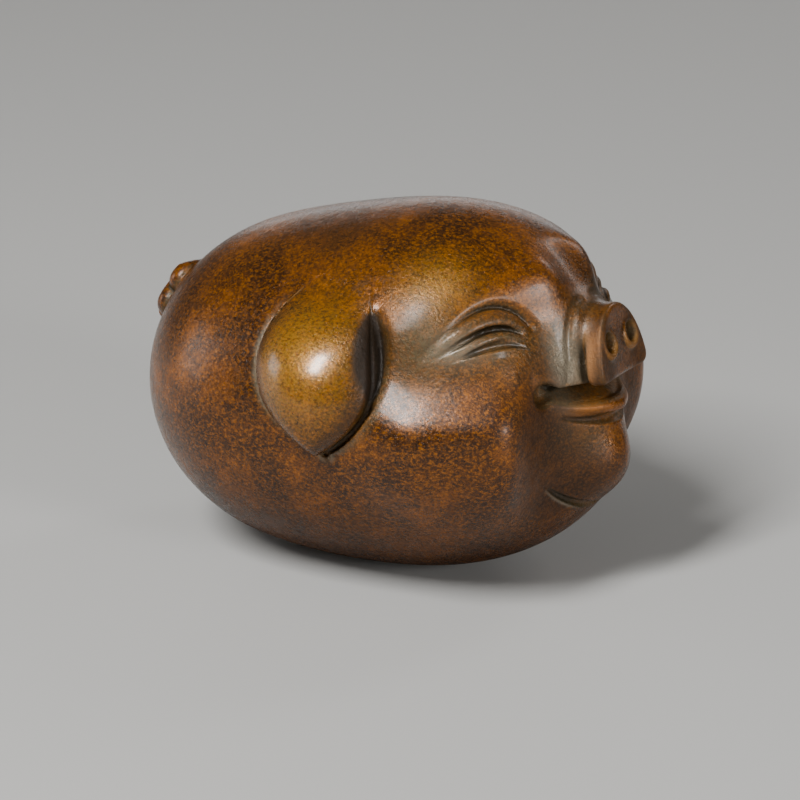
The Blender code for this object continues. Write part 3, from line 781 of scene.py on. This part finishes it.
def bronze():
    """Brown bronze: mottled orange and dark brown, ochre where rubbed, olive in recesses, with painted shade
    and highlights.
    """
    n = Nodes("patinated_bronze")
    cloud = n.step(n.noise(8.0 * MM, 4.0, 0.6, bend=0.5), 0.38, 0.64)
    patch = n.step(n.noise(2.0 * MM, 5.0, 0.75, bend=0.6), 0.42, 0.62)
    dark = n.step(n.noise(0.25 * MM, 3.0, 0.7, stretch=(1.0, 0.75, 1.0), bend=0.3), 0.44, 0.62)
    glow = n.step(n.noise(0.32 * MM, 4.0, 0.75, stretch=(1.0, 0.7, 1.1), bend=0.3), 0.42, 0.66)
    speck = n.step(n.noise(0.28 * MM, 2.0, 0.5, bend=0.4), 0.62, 0.7)
    grain = n.step(n.noise(0.35 * MM, 3.0, 0.7), 0.35, 0.65, 0.45, 1.0)
    crevice = n.step(n.attribute("crevice"), 0.2, 0.7)
    hollow = n.step(n.attribute("hollow"), 0.12, 0.6)
    ridge = n.step(n.attribute("ridge"), 0.35, 0.8)
    dust = n.times(n.math("MAXIMUM", n.times(hollow, 0.8), n.attribute("dusty")), grain)
    ochre = n.attribute("ochre")
    grey_and_highlight = n.attribute("grey_and_highlight")
    shade = n.attribute("shade")
    low = n.attribute("low")

    ground = n.mix(cloud, DARK_BRONZE, RED_BRONZE)
    # Layers over the mottled ground. Besides patina, the dark brown, underside, ear-rim, crevice and shade
    # layers paint shade, and the rubbed-metal and ridge layers paint highlights.
    layers = (
        (patch, 0.7, BROWN_PATCH),
        (ochre, 0.75, OCHRE),
        (glow, 0.6, ORANGE_GRAIN),
        (dark, 0.6, DARK_GRAIN),
        (n.attribute("umber_and_shade"), 0.65, UMBER_AND_SHADE),
        (speck, 0.6, SPECK),
        (n.attribute("orange"), 0.8, WORN_ORANGE),
        (low, 0.65, UNDERSIDE_SHADE),
        (n.attribute("ear_rim"), 0.6, EAR_RIM_BROWN_AND_SHADE),
        (dust, 0.7, OLIVE_DUST),
        (grey_and_highlight, 0.8, RUBBED_GREY_AND_HIGHLIGHT),
        (crevice, 0.85, CREVICE_OLIVE_AND_SHADE),
        (shade, 0.9, DEEP_SHADE),
        (ridge, 0.35, RIDGE_GOLD_AND_HIGHLIGHT),
    )
    for where, strength, colour in layers:
        ground = n.mix(n.times(where, strength), ground, colour)
    n.put(n.shader.inputs["Base Color"], ground)

    gloss = n.step(n.noise(1.2 * MM, 4.0, 0.6), 0.3, 0.7, 0.2, 0.34)
    dull = n.math("MAXIMUM", n.attribute("dull"), n.math("MAXIMUM", shade, n.times(hollow, 0.6)))
    n.put(n.shader.inputs["Roughness"], n.math("ADD", gloss, n.times(dull, 0.25)))
    n.put(n.shader.inputs["Metallic"], n.step(grey_and_highlight, 0.0, 1.0, 0.3, 0.7))
    n.put(n.shader.inputs["Specular IOR Level"], n.step(low, 0.0, 1.0, 0.33, 0.0))
    coat = n.step(n.math("MAXIMUM", ochre, grey_and_highlight), 0.0, 1.0, 0.22, 1.0)
    coat = n.times(coat, n.step(n.math("MAXIMUM", dull, low), 0.0, 1.0, 1.0, 0.0))
    n.put(n.shader.inputs["Coat Weight"], coat)
    n.shader.inputs["Coat Roughness"].default_value = 0.2

    pits = n.step(n.noise(0.35 * MM, 4.0, 0.7), 0.3, 0.7)
    brush = n.noise(0.45 * MM, 3.0, 0.6, stretch=(1.0, 0.25, 0.5))
    relief = n.math("ADD", n.times(pits, 0.6), brush)
    relief = n.math("ADD", relief, n.times(speck, -0.5))
    bump = n.add("ShaderNodeBump", Height=relief)
    bump.inputs["Distance"].default_value = 0.06 * MM
    n.put(bump.inputs["Strength"], n.step(n.math("MAXIMUM", dust, grey_and_highlight), 0.1, 0.8, 0.45, 1.0))
    n.put(n.shader.inputs["Normal"], bump.outputs["Normal"])
    return n.material


def floor():
    """A plain pale floor."""
    mesh = bpy.data.meshes.new("floor")
    corners = [(x * FLOOR_HALF, y * FLOOR_HALF, 0.0) for x, y in ((-1, -1), (1, -1), (1, 1), (-1, 1))]
    mesh.from_pydata(corners, [], [(0, 1, 2, 3)])
    obj = bpy.data.objects.new("floor", mesh)
    bpy.context.scene.collection.objects.link(obj)
    n = Nodes("pale_floor")
    n.shader.inputs["Base Color"].default_value = PALE_FLOOR
    n.shader.inputs["Roughness"].default_value = 0.6
    mesh.materials.append(n.material)
    return obj


def towards(azimuth, elevation):
    """The unit vector towards a place round the pig: azimuth 0 is its front, -90 its right."""
    a = math.radians(azimuth)
    e = math.radians(elevation)
    return np.array((math.sin(a) * math.cos(e), -math.cos(a) * math.cos(e), math.sin(e)))


def aim(obj, place, target):
    """Puts a light or camera at a place, looking at a target."""
    back = np.array(place) - np.array(target)
    back = back / np.linalg.norm(back)
    right = np.cross((0.0, 0.0, 1.0), back)
    right = right / np.linalg.norm(right)
    up = np.cross(back, right)
    matrix = [[right[i], up[i], back[i], place[i]] for i in range(3)] + [[0.0, 0.0, 0.0, 1.0]]
    obj.matrix_world = Matrix(matrix)


def softbox(name, azimuth, elevation, distance, size, power):
    """An area light with this width and height, looking at the pig."""
    light = bpy.data.lights.new(name, "AREA")
    light.shape = "RECTANGLE"
    light.size = size[0]
    light.size_y = size[1]
    light.energy = power
    obj = bpy.data.objects.new(name, light)
    bpy.context.scene.collection.objects.link(obj)
    aim(obj, towards(azimuth, elevation) * distance, LIGHTS_AIM)


def lights():
    """Soft studio light from the right above, and weaker ones in front, behind and beyond."""
    world = bpy.data.worlds.new("studio")
    world.use_nodes = True
    background = world.node_tree.nodes["Background"]
    background.inputs["Color"].default_value = ROOM_LIGHT
    background.inputs["Strength"].default_value = ROOM_STRENGTH
    bpy.context.scene.world = world
    for box in SOFTBOXES:
        softbox(*box)


def camera():
    """The photograph's view: from the pig's right and front, a little above."""
    data = bpy.data.cameras.new("camera")
    data.sensor_width = CAMERA_SENSOR
    data.lens = CAMERA_LENS
    data.clip_start = 0.01
    obj = bpy.data.objects.new("camera", data)
    bpy.context.scene.collection.objects.link(obj)
    back = towards(CAMERA_AZIMUTH, CAMERA_ELEVATION) * CAMERA_DISTANCE
    aim(obj, CAMERA_AIM + back, CAMERA_AIM)
    bpy.context.scene.camera = obj


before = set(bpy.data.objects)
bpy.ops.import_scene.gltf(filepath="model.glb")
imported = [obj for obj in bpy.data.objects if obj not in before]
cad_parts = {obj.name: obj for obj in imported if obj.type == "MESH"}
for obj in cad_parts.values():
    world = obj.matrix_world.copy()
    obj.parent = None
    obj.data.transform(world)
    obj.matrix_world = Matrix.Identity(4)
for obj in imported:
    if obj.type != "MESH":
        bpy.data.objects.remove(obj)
cad_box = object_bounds()

surface = skin(np.array(cad_box))
paint(surface)
surface.shade_smooth()
surface.materials.append(bronze())
pig = bpy.data.objects.new("pig_cast", surface)
bpy.context.scene.collection.objects.link(pig)
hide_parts("pig")
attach(pig, "root")

floor()
lights()
camera()
